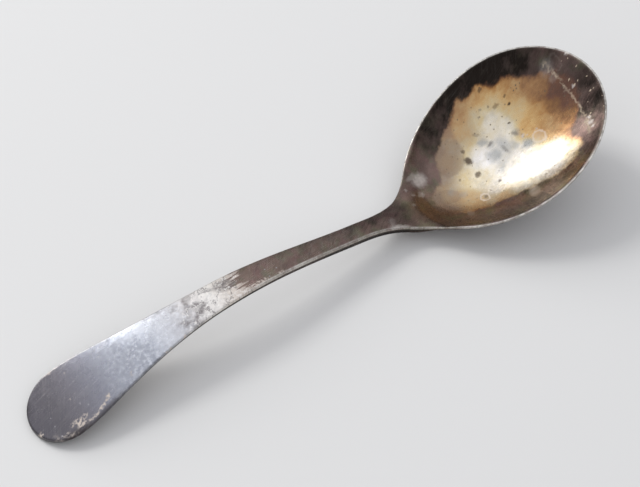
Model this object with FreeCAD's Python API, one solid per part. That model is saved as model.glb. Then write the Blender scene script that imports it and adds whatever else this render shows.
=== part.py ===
import FreeCAD, Part
import math
import os

# A short serving spoon, struck from one flat blank, in two solids that meet at the neck.
# Lengths are millimetres. X runs from the handle's end to the bowl's tip and +Z is up.
# The blank's plan is cut out first, then pressed between an upper and a lower die.
# The finished spoon rests on the plane Z = 0, centred over the origin.

# Plan of the handle: a round end, a long taper to a slim waist, then the neck.
END_RADIUS = 8.3
TAPER_AT = 21.0
TAPER_WIDTH = 13.0
TAPER_SLOPE = -0.185
WAIST_AT = 46.0
WAIST_WIDTH = 7.06
WAIST_SLOPE = -0.045
NECK_AT = 81.4
NECK_WIDTH = 4.64

# Plan of the bowl: an egg, blunt towards its tip, met on its back by the shoulders.
SHOULDER_RUN = 15.3
BOWL_LENGTH = 48.3
BOWL_WIDTH = 39.7
EGG_SKEW = 0.125
EGG_TAPER = 0.072
SHOULDER_MEETS_EGG = -0.82

# Side view of the upper edge: the end droops, the handle arches, the neck dips, the rim climbs.
END_HEIGHT = 1.4
END_SLOPE = 0.33
CREST_AT = 50.5
CREST_HEIGHT = 12.9
NECK_HEIGHT = 8.4
NECK_SLOPE = -0.17
DIP_RUN = 13.6
DIP_HEIGHT = 4.7
DIP_SLOPE = -0.33
RIM_RUN = 21.6
RIM_HEIGHT = 6.5
RIM_SLOPE = 0.424
RIM_WAVE = 0.45

# Metal of the handle, and how far its upper and its back face are rounded over at the edges.
END_THICKNESS = 1.4
NECK_THICKNESS = 2.7
TOP_CROWN = 0.35
BACK_CROWN = 0.45
CROWN_POWER = 2

# Hollow of the bowl, its metal, and the heel that carries the stem's metal into its back.
BOWL_DEPTH = 9.3
BOWL_GAUGE = 0.95
HOLLOW_POWER = 2.3
BACK_POWER = 2.4
RIM_LAND = 0.65
RIM_WALL = 0.5
LAND_RUN = 8.0
LAND_CLEARANCE = 0.6
BLEND_RUN = 12.6
BLEND_LENGTH = 9.0
HEEL_HEIGHT = 0.8
HEEL_WIDTH = 6.0
HEEL_LENGTH = 24.0

# How closely the blank's edge and the dies follow their formulas.
OUTLINE_STEP = 4.0
HANDLE_STEP = 6.5
BOWL_STEP = 3.0
ROWS = 13
DIE_MARGIN = 1.0
DIE_HEIGHT = 60.0
SEATING_TURNS = 4
SEATING_MESH = 0.02

DIP_AT = NECK_AT + DIP_RUN
RIM_AT = NECK_AT + RIM_RUN
BLEND_AT = NECK_AT + BLEND_RUN
BOWL_BACK = NECK_AT + SHOULDER_RUN
BOWL_RADIUS = BOWL_LENGTH / 2
BOWL_CENTRE = BOWL_BACK + BOWL_RADIUS
BOWL_TIP = BOWL_BACK + BOWL_LENGTH


def spans(stations, x):
    """Value at place x of a smooth curve through stations of (place, value, slope)."""
    for (x0, z0, m0), (x1, z1, m1) in zip(stations, stations[1:]):
        if x <= x1:
            break
    run = x1 - x0
    t = (x - x0) / run
    value = z0 * (1 + 2 * t) * (1 - t) ** 2 + z1 * t * t * (3 - 2 * t)
    return value + run * (m0 * t * (1 - t) ** 2 - m1 * t * t * (1 - t))


def step(t):
    """Smooth step from 0 to 1 as t goes from 0 to 1."""
    t = min(1.0, max(0.0, t))
    return t * t * (3 - 2 * t)


def egg_breadth(place):
    """Half breadth of the egg's oval, at a place from -1 at its back to 1 at its tip."""
    return BOWL_WIDTH / 2 * (1 + EGG_SKEW * place - EGG_TAPER * place * place)


def egg_half_width(place):
    """Half width of the egg at a place from -1 to 1."""
    return egg_breadth(place) * math.sqrt(1 - place * place)


def shoulder_station():
    """Where the shoulder runs into the egg, with the egg's own width and slope."""
    nudge = 0.001
    ahead = egg_half_width(SHOULDER_MEETS_EGG + nudge)
    behind = egg_half_width(SHOULDER_MEETS_EGG - nudge)
    slope = (ahead - behind) / (2 * nudge * BOWL_RADIUS)
    x = BOWL_CENTRE + SHOULDER_MEETS_EGG * BOWL_RADIUS
    return x, egg_half_width(SHOULDER_MEETS_EGG), slope


def handle_stations():
    """Half width of the handle and its shoulders, from the round end to the egg."""
    return [
        (END_RADIUS, END_RADIUS, 0.0),
        (TAPER_AT, TAPER_WIDTH / 2, TAPER_SLOPE),
        (WAIST_AT, WAIST_WIDTH / 2, WAIST_SLOPE),
        (NECK_AT, NECK_WIDTH / 2, 0.0),
        shoulder_station(),
    ]


def half_outline():
    """Points of the plan's edge on the +Y side, from the handle's end to the bowl's tip."""
    points = []
    count = math.ceil(END_RADIUS * math.pi / 2 / OUTLINE_STEP)
    for k in range(count):
        angle = math.pi / 2 * k / count
        points.append((END_RADIUS * (1 - math.cos(angle)), END_RADIUS * math.sin(angle)))
    stations = handle_stations()
    start = stations[0][0]
    stop = stations[-1][0]
    count = math.ceil((stop - start) / OUTLINE_STEP)
    for k in range(count):
        x = start + (stop - start) * k / count
        points.append((x, spans(stations, x)))
    sweep = math.acos(SHOULDER_MEETS_EGG)
    count = math.ceil(BOWL_RADIUS * sweep / OUTLINE_STEP)
    for k in range(count + 1):
        place = math.cos(sweep * (1 - k / count))
        points.append((BOWL_CENTRE + BOWL_RADIUS * place, egg_half_width(place)))
    return points


def outline_face():
    """The flat blank's plan, inside one closed curve."""
    upper = half_outline()
    lower = [(x, -y) for x, y in reversed(upper[1:-1])]
    loop = [FreeCAD.Vector(x, y, 0) for x, y in upper + lower]
    curve = Part.BSplineCurve()
    curve.interpolate(Points=loop, PeriodicFlag=True)
    return Part.Face(Part.Wire([curve.toShape()]))


def edge_height(x):
    """Side view of the upper edge, at place x."""
    rim_length = BOWL_TIP - RIM_AT
    stations = [
        (0.0, END_HEIGHT, END_SLOPE),
        (CREST_AT, CREST_HEIGHT, 0.0),
        (NECK_AT, NECK_HEIGHT, NECK_SLOPE),
        (DIP_AT, DIP_HEIGHT, DIP_SLOPE),
        (RIM_AT, RIM_HEIGHT, RIM_SLOPE - RIM_WAVE * 2 * math.pi / rim_length),
    ]
    if x <= RIM_AT:
        return spans(stations, x)
    along = x - RIM_AT
    return RIM_HEIGHT + RIM_SLOPE * along - RIM_WAVE * math.sin(2 * math.pi * along / rim_length)


def bowl_share(x):
    """How much of the form is bowl: 0 on the handle, 1 in the bowl, smooth between them."""
    return step((x - BLEND_AT) / BLEND_LENGTH)


def land_share(x):
    """How much of the rim's flat land there is: none on the handle, all of it round the bowl."""
    return step((x - BOWL_BACK) / LAND_RUN)


def reach(x, y, inset=0.0):
    """How far out a point lies in the egg: 0 at its centre, 1 on its edge less the inset."""
    place = (x - BOWL_CENTRE) / (BOWL_RADIUS - inset)
    side = y / (egg_breadth(max(-1.2, min(1.1, place))) - inset)
    return math.hypot(place, side)


def crown(x, y, height):
    """Rounding of a handle face: its height on the centre line, falling to 0 at the edge."""
    half = spans(handle_stations(), min(max(x, END_RADIUS), BOWL_BACK))
    return height * (1 - min(1.5, abs(y) / half) ** CROWN_POWER)


def hollow(x, y):
    """Depth of the bowl's hollow below its rim."""
    return BOWL_DEPTH * (1 - reach(x, y, RIM_LAND * land_share(x)) ** HOLLOW_POWER)


def top_height(x, y):
    """Upper face: the crowned handle, running into the hollow of the bowl."""
    bowl = bowl_share(x)
    return edge_height(x) + (1 - bowl) * crown(x, y, TOP_CROWN) - bowl * hollow(x, y)


def back_height(x, y):
    """Lower face: the handle's back, running over the heel into the back of the bowl."""
    bowl = bowl_share(x)
    metal = END_THICKNESS + (NECK_THICKNESS - END_THICKNESS) * max(0.0, min(x, NECK_AT)) / NECK_AT
    stem = TOP_CROWN - metal + BACK_CROWN - crown(x, y, BACK_CROWN)
    depth = BOWL_DEPTH + BOWL_GAUGE - RIM_WALL
    shell = -RIM_WALL - depth * (1 - reach(x, y) ** BACK_POWER)
    fade = 1 - step((x - BLEND_AT) / HEEL_LENGTH)
    heel = HEEL_HEIGHT * fade * math.exp(-((2 * y / HEEL_WIDTH) ** 2))
    return edge_height(x) + (1 - bowl) * stem + bowl * (shell - heel)


def rim_height(x):
    """Level of the rim's land; over the handle it stands clear of the crown."""
    return edge_height(x) + (1 - land_share(x)) * LAND_CLEARANCE


def die_half_width(x):
    """Half width of the dies: a little more than the blank's, and never closing at the ends."""
    if x < END_RADIUS:
        return END_RADIUS + DIE_MARGIN
    start = spans(handle_stations(), min(x, BOWL_BACK))
    grow = step((x - NECK_AT - SHOULDER_RUN / 2) / (SHOULDER_RUN + BOWL_RADIUS / 2))
    return start + DIE_MARGIN + (BOWL_WIDTH / 2 - start) * grow


def die_stations():
    """Places along the spoon that the dies follow: wide apart on the handle, close in the bowl."""
    first = -DIE_MARGIN
    last = BOWL_TIP + DIE_MARGIN
    on_handle = math.ceil((NECK_AT - first) / HANDLE_STEP)
    in_bowl = math.ceil((last - NECK_AT) / BOWL_STEP)
    handle = [first + (NECK_AT - first) * i / on_handle for i in range(on_handle)]
    bowl = [NECK_AT + (last - NECK_AT) * i / in_bowl for i in range(in_bowl + 1)]
    return handle + bowl


def die_face(height):
    """One smooth face that follows a height formula over the whole blank, denser at its edges."""
    across = [math.sin(math.pi * (j / (ROWS - 1) - 0.5)) for j in range(ROWS)]
    grid = []
    for x in die_stations():
        half = die_half_width(x)
        grid.append([FreeCAD.Vector(x, half * t, height(x, half * t)) for t in across])
    surface = Part.BSplineSurface()
    surface.interpolate(grid)
    return surface.toShape()


def rim_die():
    """A die with a flat section that planes the land on the rim."""
    side = 2 * BOWL_WIDTH
    points = [FreeCAD.Vector(x, -side / 2, rim_height(x)) for x in die_stations()]
    profile = Part.BSplineCurve()
    profile.interpolate(points)
    face = profile.toShape().extrude(FreeCAD.Vector(0, side, 0))
    return face.extrude(FreeCAD.Vector(0, 0, DIE_HEIGHT))


def struck_spoon():
    """The blank cut between the upper and the lower die, with the rim planed."""
    blank = outline_face()
    blank.translate(FreeCAD.Vector(0, 0, -DIE_HEIGHT / 2))
    blank = blank.extrude(FreeCAD.Vector(0, 0, DIE_HEIGHT))
    upper_die = die_face(top_height).extrude(FreeCAD.Vector(0, 0, DIE_HEIGHT))
    lower_die = die_face(back_height).extrude(FreeCAD.Vector(0, 0, -DIE_HEIGHT))
    return blank.cut(upper_die).cut(rim_die()).cut(lower_die)


def halves(spoon):
    """The handle and the bowl, parted by a flat cut across the neck."""
    corner = FreeCAD.Vector(NECK_AT - 2 * BOWL_TIP, -BOWL_WIDTH, -DIE_HEIGHT)
    side = Part.makeBox(2 * BOWL_TIP, 2 * BOWL_WIDTH, 2 * DIE_HEIGHT, corner)
    return {"handle": spoon.common(side).Solids[0], "bowl": spoon.cut(side).Solids[0]}


def skin(solid):
    """Points spread over a solid's faces."""
    return solid.copy().tessellate(SEATING_MESH)[0]


def low_point(solid):
    """Lowest point of a solid."""
    return min(skin(solid), key=lambda point: point.z)


def lay_down(pieces):
    """Turn the pieces about Y and lower them, so that the end and the bowl's back rest on Z = 0."""
    for _ in range(SEATING_TURNS):
        end = low_point(pieces["handle"])
        back = low_point(pieces["bowl"])
        angle = math.degrees(math.atan2(back.z - end.z, back.x - end.x))
        for solid in pieces.values():
            solid.rotate(FreeCAD.Vector(0, 0, 0), FreeCAD.Vector(0, 1, 0), angle)
    points = skin(pieces["handle"]) + skin(pieces["bowl"])
    middle = (min(point.x for point in points) + max(point.x for point in points)) / 2
    floor = min(point.z for point in points)
    for solid in pieces.values():
        solid.translate(FreeCAD.Vector(-middle, 0, -floor))


def main():
    os.makedirs("parts", exist_ok=True)
    pieces = halves(struck_spoon())
    lay_down(pieces)
    for name, solid in pieces.items():
        solid.exportStep("parts/" + name + ".step")


main()
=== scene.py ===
import math

import bpy
import numpy as np
from mathutils import Matrix, Vector


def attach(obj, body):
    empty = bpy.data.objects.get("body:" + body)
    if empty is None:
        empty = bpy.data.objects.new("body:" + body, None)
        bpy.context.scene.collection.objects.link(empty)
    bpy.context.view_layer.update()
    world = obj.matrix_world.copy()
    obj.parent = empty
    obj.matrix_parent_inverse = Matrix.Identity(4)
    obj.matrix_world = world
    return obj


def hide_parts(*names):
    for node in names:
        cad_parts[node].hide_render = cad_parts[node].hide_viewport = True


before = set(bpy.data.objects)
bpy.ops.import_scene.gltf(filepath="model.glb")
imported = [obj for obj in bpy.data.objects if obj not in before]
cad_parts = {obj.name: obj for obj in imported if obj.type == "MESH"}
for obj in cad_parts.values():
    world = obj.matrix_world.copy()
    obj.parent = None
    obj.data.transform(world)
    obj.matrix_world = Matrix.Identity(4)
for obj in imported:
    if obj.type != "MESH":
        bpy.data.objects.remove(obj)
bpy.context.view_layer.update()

MM = 0.001


# ---------------------------------------------------------------------------------------------
# Camera: above and in front of the spoon, a little to the left of its middle.

CAMERA_PLACE = Vector((-101.95, -151.05, 255.05)) * MM
CAMERA_BEARING = 33.8
CAMERA_FALL = 53.3
CAMERA_LENS = 78.75
CAMERA_SENSOR = 36.0


def set_camera():
    """The view from above the handle's near side, looking along the spoon towards its bowl."""
    data = bpy.data.cameras.new("camera")
    data.lens = CAMERA_LENS
    data.sensor_width = CAMERA_SENSOR
    data.clip_start = 0.01
    camera = bpy.data.objects.new("camera", data)
    camera.location = CAMERA_PLACE
    camera.rotation_euler = (math.radians(90 - CAMERA_FALL), 0, math.radians(-CAMERA_BEARING))
    bpy.context.scene.collection.objects.link(camera)
    bpy.context.scene.camera = camera


set_camera()


# ---------------------------------------------------------------------------------------------
# The spoon's form, in millimetres, before it is laid down. X runs from the handle's end to the
# bowl's tip. These are the solids' own sizes.

END_RADIUS = 8.3
HANDLE_WIDTHS = ((21.0, 13.0, -0.185), (46.0, 7.06, -0.045), (81.4, 4.64, 0.0))
NECK_AT = 81.4
BOWL_BACK = 96.7
BOWL_LENGTH = 48.3
BOWL_WIDTH = 39.7
EGG_SKEW = 0.125
EGG_TAPER = 0.072
SHOULDER_MEETS_EGG = -0.82
SIDE_VIEW = ((0.0, 1.4, 0.33), (50.5, 12.9, 0.0), (81.4, 8.4, -0.17), (95.0, 4.7, -0.33))
RIM_AT = 103.0
RIM_HEIGHT = 6.5
RIM_SLOPE = 0.424
RIM_WAVE = 0.45
END_THICKNESS = 1.4
NECK_THICKNESS = 2.7
TOP_CROWN = 0.35
BACK_CROWN = 0.45
CROWN_POWER = 2
BOWL_DEPTH = 9.3
BOWL_GAUGE = 0.95
HOLLOW_POWER = 2.3
BACK_POWER = 2.4
RIM_LAND = 0.65
RIM_WALL = 0.5
LAND_RUN = 8.0
LAND_CLEARANCE = 0.6
BLEND_AT = 94.0
BLEND_LENGTH = 9.0
HEEL_HEIGHT = 0.8
HEEL_WIDTH = 6.0
HEEL_LENGTH = 24.0

BOWL_RADIUS = BOWL_LENGTH / 2
BOWL_CENTRE = BOWL_BACK + BOWL_RADIUS
BOWL_TIP = BOWL_BACK + BOWL_LENGTH

# What years of use have done to the edges: radii of the rounded corners, and a softened lip
# where the rim's land meets the hollow.
HANDLE_EDGE_RADIUS = 0.35
RIM_EDGE_RADIUS = 0.22
LIP_SOFTNESS = 0.1


def spans(stations, x):
    """Values at places x of a smooth curve through stations of (place, value, slope)."""
    table = np.array(stations)
    k = np.clip(np.searchsorted(table[:, 0], x) - 1, 0, len(table) - 2)
    x0, z0, m0 = table[k].T if np.ndim(k) == 1 else np.moveaxis(table[k], -1, 0)
    x1, z1, m1 = table[k + 1].T if np.ndim(k) == 1 else np.moveaxis(table[k + 1], -1, 0)
    run = x1 - x0
    t = (x - x0) / run
    value = z0 * (1 + 2 * t) * (1 - t) ** 2 + z1 * t * t * (3 - 2 * t)
    return value + run * (m0 * t * (1 - t) ** 2 - m1 * t * t * (1 - t))


def step(t):
    """Smooth step from 0 to 1 as t goes from 0 to 1."""
    t = np.clip(t, 0.0, 1.0)
    return t * t * (3 - 2 * t)


def egg_breadth(place):
    """Half breadth of the bowl's egg, at a place from -1 at its back to 1 at its tip."""
    return BOWL_WIDTH / 2 * (1 + EGG_SKEW * place - EGG_TAPER * place * place)


def egg_half_width(place):
    """Half width of the bowl's egg, at a place from -1 to 1."""
    return egg_breadth(place) * np.sqrt(np.maximum(0.0, 1 - place * place))


def handle_stations():
    """Half width of the handle and its shoulders, from the round end to the egg."""
    nudge = 0.001
    ahead = egg_half_width(SHOULDER_MEETS_EGG + nudge)
    behind = egg_half_width(SHOULDER_MEETS_EGG - nudge)
    slope = (ahead - behind) / (2 * nudge * BOWL_RADIUS)
    x = BOWL_CENTRE + SHOULDER_MEETS_EGG * BOWL_RADIUS
    middle = [(place, width / 2, slope) for place, width, slope in HANDLE_WIDTHS]
    return [(END_RADIUS, END_RADIUS, 0.0), *middle, (x, egg_half_width(SHOULDER_MEETS_EGG), slope)]


def edge_height(x):
    """Side view of the upper edge."""
    rim_length = BOWL_TIP - RIM_AT
    start_slope = RIM_SLOPE - RIM_WAVE * 2 * math.pi / rim_length
    stem = spans([*SIDE_VIEW, (RIM_AT, RIM_HEIGHT, start_slope)], np.minimum(x, RIM_AT))
    along = np.maximum(x - RIM_AT, 0.0)
    wave = RIM_WAVE * np.sin(2 * math.pi * along / rim_length)
    return np.where(x <= RIM_AT, stem, RIM_HEIGHT + RIM_SLOPE * along - wave)


def bowl_share(x):
    """How far the section has turned from the stem's into the bowl's."""
    return step((x - BLEND_AT) / BLEND_LENGTH)


def land_share(x):
    """How far the rim's flat land has grown, from none on the shoulders to full."""
    return step((x - BOWL_BACK) / LAND_RUN)


def reach(x, y, inset=0.0):
    """How far out a point lies in the egg: 0 at its centre, 1 on its edge less the inset."""
    place = (x - BOWL_CENTRE) / (BOWL_RADIUS - inset)
    side = y / (egg_breadth(np.clip(place, -1.2, 1.1)) - inset)
    return np.hypot(place, side)


def crown(x, y, height):
    """Rounding of a handle face: its height on the centre line, falling to 0 at the edge."""
    half = spans(handle_stations(), np.clip(x, END_RADIUS, BOWL_BACK))
    return height * (1 - np.minimum(1.5, np.abs(y) / half) ** CROWN_POWER)


def top_height(x, y):
    """Upper face: the crowned handle, the hollow of the bowl and the land on its rim."""
    bowl = bowl_share(x)
    land = land_share(x)
    hollow = BOWL_DEPTH * (1 - reach(x, y, RIM_LAND * land) ** HOLLOW_POWER)
    face = (1 - bowl) * crown(x, y, TOP_CROWN) - bowl * hollow
    lip = (1 - land) * LAND_CLEARANCE
    return edge_height(x) - LIP_SOFTNESS * np.logaddexp(-face / LIP_SOFTNESS, -lip / LIP_SOFTNESS)


def back_height(x, y):
    """Lower face: the handle's back, running over the heel into the back of the bowl."""
    bowl = bowl_share(x)
    metal = END_THICKNESS + (NECK_THICKNESS - END_THICKNESS) * np.clip(x, 0.0, NECK_AT) / NECK_AT
    stem = TOP_CROWN - metal + BACK_CROWN - crown(x, y, BACK_CROWN)
    depth = BOWL_DEPTH + BOWL_GAUGE - RIM_WALL
    shell = -RIM_WALL - depth * (1 - reach(x, y) ** BACK_POWER)
    fade = 1 - step((x - BLEND_AT) / HEEL_LENGTH)
    heel = HEEL_HEIGHT * fade * np.exp(-((2 * y / HEEL_WIDTH) ** 2))
    return edge_height(x) + (1 - bowl) * stem + bowl * (shell - heel)


# Mesh density: columns of faces round the outline, and rows from the edge to the centre line.
COLUMN_STEP = 0.36
CORNER_ROWS = 6
LIP_ROWS = (0.06, 0.14, 0.22, 0.3, 0.37, 0.44, 0.51, 0.6, 0.72, 0.86, 1.0)
LIP_WIDTH = 1.5
LIP_LIMIT = 0.55
INNER_ROWS = 24
WALL_ROWS = 4
SHOULDER_DENSITY = 1.3
# At the round end and the tip, rows run to places spread along the centre line by this share.
AXIS_SPREAD = 0.45
# A corner too small to see, where the form is only measured, and the first step underneath.
SHARP_CORNER = 0.01
SEATING_TURNS = 4


def outline():
    """The plan's edge on the +Y side, and the point of the centre line that each place looks to."""
    turns = np.linspace(0, math.pi / 2, math.ceil(END_RADIUS * math.pi / 2 / COLUMN_STEP), endpoint=False)
    end_x = END_RADIUS * (1 - np.cos(turns))
    end_y = END_RADIUS * np.sin(turns)
    end_axis = END_RADIUS * (1 - AXIS_SPREAD * np.cos(turns) ** 2)
    stations = handle_stations()
    start, stop = stations[0][0], stations[-1][0]
    to_neck = np.linspace(start, NECK_AT, math.ceil((NECK_AT - start) / COLUMN_STEP), endpoint=False)
    shoulder_columns = math.ceil((stop - NECK_AT) / COLUMN_STEP * SHOULDER_DENSITY)
    shoulder = np.linspace(NECK_AT, stop, shoulder_columns, endpoint=False)
    side_x = np.concatenate([to_neck, shoulder])
    sweep = math.acos(SHOULDER_MEETS_EGG)
    places = np.cos(np.linspace(sweep, 0, math.ceil(BOWL_RADIUS * sweep / COLUMN_STEP)))
    egg_x = BOWL_CENTRE + BOWL_RADIUS * places
    first = egg_x[0]
    axis_run = BOWL_CENTRE + AXIS_SPREAD * BOWL_RADIUS - first
    egg_axis = first + axis_run * (egg_x - first) / (BOWL_TIP - first)
    x = np.concatenate([end_x, side_x, egg_x])
    y = np.concatenate([end_y, spans(stations, side_x), egg_half_width(places)])
    axis = np.concatenate([end_axis, side_x, egg_axis])
    return x, y, axis


def ring():
    """The whole plan's edge, once round: +Y side from the end to the tip, then the -Y side back."""
    x, y, axis = outline()
    return (
        np.concatenate([x, x[-2:0:-1]]),
        np.concatenate([y, -y[-2:0:-1]]),
        np.concatenate([axis, axis[-2:0:-1]]),
    )


def face_rows(x, y, axis, radius):
    """Plan points of one face, rows from the edge to the centre line, and each row's corner drop."""
    length = np.hypot(x - axis, y)
    corner = np.linspace(0, math.pi / 2, CORNER_ROWS)
    rows = [(radius * (1 - math.cos(a)), radius * (1 - math.sin(a))) for a in corner]
    lip = np.minimum(LIP_WIDTH, LIP_LIMIT * length)
    rows += [(radius + (lip - radius) * share, 0 * radius) for share in LIP_ROWS]
    inner = [(k + 1) / INNER_ROWS for k in range(INNER_ROWS)]
    rows += [(lip + (length - lip) * share, 0 * radius) for share in inner]
    plan_x = [x + (axis - x) * inset / length for inset, _ in rows]
    plan_y = [y * (1 - inset / length) for inset, _ in rows]
    insets = np.array([inset + 0 * x for inset, _ in rows])
    return np.array(plan_x), np.array(plan_y), np.array([drop for _, drop in rows]), insets


def skin_grid():
    """Every point of the spoon's skin, in rows from the upper centre line over the edge to the back
    centre line, and how far in from the edge each lies: negative down the wall and underneath."""
    x, y, axis = ring()
    land = land_share(x)
    radius = HANDLE_EDGE_RADIUS + (RIM_EDGE_RADIUS - HANDLE_EDGE_RADIUS) * land
    plan_x, plan_y, drop, insets = face_rows(x, y, axis, radius)
    top = np.stack([plan_x, plan_y, top_height(plan_x, plan_y) - drop], -1)
    back = np.stack([plan_x, plan_y, back_height(plan_x, plan_y) + drop], -1)
    shares = [(k + 1) / (WALL_ROWS + 1) for k in range(WALL_ROWS)]
    wall = np.array([top[0] + (back[0] - top[0]) * share for share in shares])
    depths = np.array([-(top[0, :, 2] - row[:, 2]) for row in [*wall, *back[:1]]])
    below = depths[-1] - SHARP_CORNER - insets
    return np.concatenate([top[::-1], wall, back]), np.concatenate([insets[::-1], depths[:-1], below])


def laid_down():
    """How the spoon lies: turned about Y and lowered until its end and its bowl's back touch Z = 0."""
    x, y, axis = ring()
    plan_x, plan_y, _, _ = face_rows(x, y, axis, 0 * x + SHARP_CORNER)
    points = np.stack([plan_x, plan_y, back_height(plan_x, plan_y)], -1).reshape(-1, 3)
    on_handle = points[:, 0] < NECK_AT
    turn = 0.0
    for _ in range(SEATING_TURNS):
        tilt = Matrix.Rotation(turn, 3, "Y")
        low = points @ np.array(tilt).T
        end = low[on_handle][np.argmin(low[on_handle][:, 2])]
        back = low[~on_handle][np.argmin(low[~on_handle][:, 2])]
        turn += math.atan2(back[2] - end[2], back[0] - end[0])
    low = points @ np.array(Matrix.Rotation(turn, 3, "Y")).T
    tip = Matrix.Rotation(turn, 3, "Y") @ Vector((BOWL_TIP, 0, float(edge_height(np.array(BOWL_TIP)))))
    middle = (low[:, 0].min() + tip.x) / 2
    return Matrix.Translation((-middle, 0, -low[:, 2].min())) @ Matrix.Rotation(turn, 4, "Y")


LAID = laid_down()


def placed(points):
    """Points of the form in the laid-down frame, in metres."""
    turn = np.array(LAID.to_3x3())
    return (points @ turn.T + np.array(LAID.translation)) * MM


def joined(grid):
    """Point numbers of the grid, where both sides share the points of the centre lines."""
    rows, columns = grid.shape[:2]
    numbers = np.arange(rows * columns).reshape(rows, columns)
    across = -np.arange(columns) % columns
    shared = np.minimum(np.arange(columns), across)
    numbers[0] = numbers[0][shared]
    numbers[-1] = numbers[-1][shared]
    return numbers


def skin_faces(numbers, columns):
    """Faces between neighbouring columns of the grid, looking outward."""
    faces = []
    for near, far in zip(columns[:-1], columns[1:]):
        for j in range(len(numbers) - 1):
            upper, lower = numbers[j], numbers[j + 1]
            faces.append((upper[near], upper[far], lower[far], lower[near]))
    return faces


def cut_faces(numbers, left, right):
    """The flat cut at the neck, as strips from the spoon's left edge to its right edge."""
    faces = []
    for j in range(len(numbers) - 1):
        corners = (numbers[j, left], numbers[j + 1, left], numbers[j + 1, right], numbers[j, right])
        faces.append(tuple(dict.fromkeys(corners)))
    return faces


def mesh_of(name, points, faces):
    """A mesh of the faces and only the points that they use."""
    used, first = np.unique(np.concatenate(faces), return_inverse=True)
    mesh = bpy.data.meshes.new(name)
    starts = np.cumsum([0] + [len(face) for face in faces])
    numbered = [first[a:b].tolist() for a, b in zip(starts[:-1], starts[1:])]
    mesh.from_pydata(points[used].tolist(), [], numbered)
    mesh.update()
    return mesh, used


# ---------------------------------------------------------------------------------------------
# Where the plate is clean and where it has tarnished, as places on the plan in millimetres.

# Edge of the patch in the bowl that rubbing has kept bright.
RUBBED_EDGE = (
    (104.0, 0.2), (105.0, 2.9), (107.6, 4.0), (109.6, 5.4), (110.2, 8.8), (112.4, 11.0),
    (115.4, 12.8), (118.0, 14.4), (119.8, 15.5), (121.2, 16.5), (123.4, 15.7), (126.2, 16.1),
    (128.4, 15.1), (130.0, 13.7), (132.4, 13.1), (134.6, 11.0), (136.6, 8.8), (139.4, 6.8),
    (141.2, 3.4), (141.4, -0.5), (140.2, -3.8), (137.8, -6.2), (134.9, -7.8), (134.2, -10.0),
    (133.4, -12.5), (130.4, -14.6), (126.2, -13.7), (123.0, -12.1), (120.0, -10.2), (116.4, -8.8),
    (112.0, -7.4), (108.2, -5.8), (105.6, -3.2),
)
# Edge of the worn stretch over the handle's arch.
WORN_EDGE = (
    (23.0, 8.0), (24.0, 4.2), (27.2, 1.6), (29.2, -1.6), (30.2, -6.5), (38.0, -7.0), (48.0, -6.0),
    (57.5, -4.4), (60.0, -3.0), (55.0, -2.3), (52.8, -1.6), (51.0, -0.6), (49.6, 0.7), (51.6, 2.0),
    (50.8, 3.0), (51.4, 5.5), (42.0, 6.5), (32.0, 7.5),
)
LOOP_STEPS = 6
LEAST_RISE = 1e-9

# Film of tarnish in the rubbed patch: place, and thickness from 0 for bare silver to 1.
BOWL_FILM = (
    (120.0, 3.5, 0.02), (124.0, 3.0, 0.05), (116.0, 0.0, 0.2), (120.4, -3.6, 0.06),
    (117.6, -5.4, 0.13), (124.0, 11.5, 0.27), (125.5, 8.8, 0.13), (121.0, 15.0, 0.46),
    (126.0, 15.0, 0.44), (128.0, 12.0, 0.33), (133.0, 10.5, 0.44), (129.4, 13.8, 0.47),
    (132.6, 12.2, 0.52), (135.4, 9.2, 0.52), (131.5, 6.0, 0.34), (130.6, 1.5, 0.42),
    (127.0, 5.0, 0.12), (126.5, -2.0, 0.08), (126.0, -8.0, 0.04), (131.4, -7.6, 0.12),
    (128.0, -12.0, 0.06), (133.6, 3.0, 0.41), (133.8, -0.5, 0.43), (134.0, -4.5, 0.46),
    (136.0, 4.6, 0.56), (136.2, 0.0, 0.59), (136.4, -4.5, 0.56), (138.4, 2.5, 0.7),
    (138.4, -2.5, 0.67), (140.6, 0.0, 0.72), (135.4, -8.5, 0.5), (108.0, 0.0, 0.36),
    (111.0, -3.0, 0.34), (113.0, 8.0, 0.33), (116.4, 9.0, 0.24), (118.2, 12.0, 0.38),
    (121.6, -9.4, 0.16), (113.0, 2.5, 0.24), (118.0, 13.0, 0.44), (117.0, -7.4, 0.36),
    (130.0, -13.6, 0.2), (111.0, -6.0, 0.42),
)
FILM_REACH = 2.4

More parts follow.
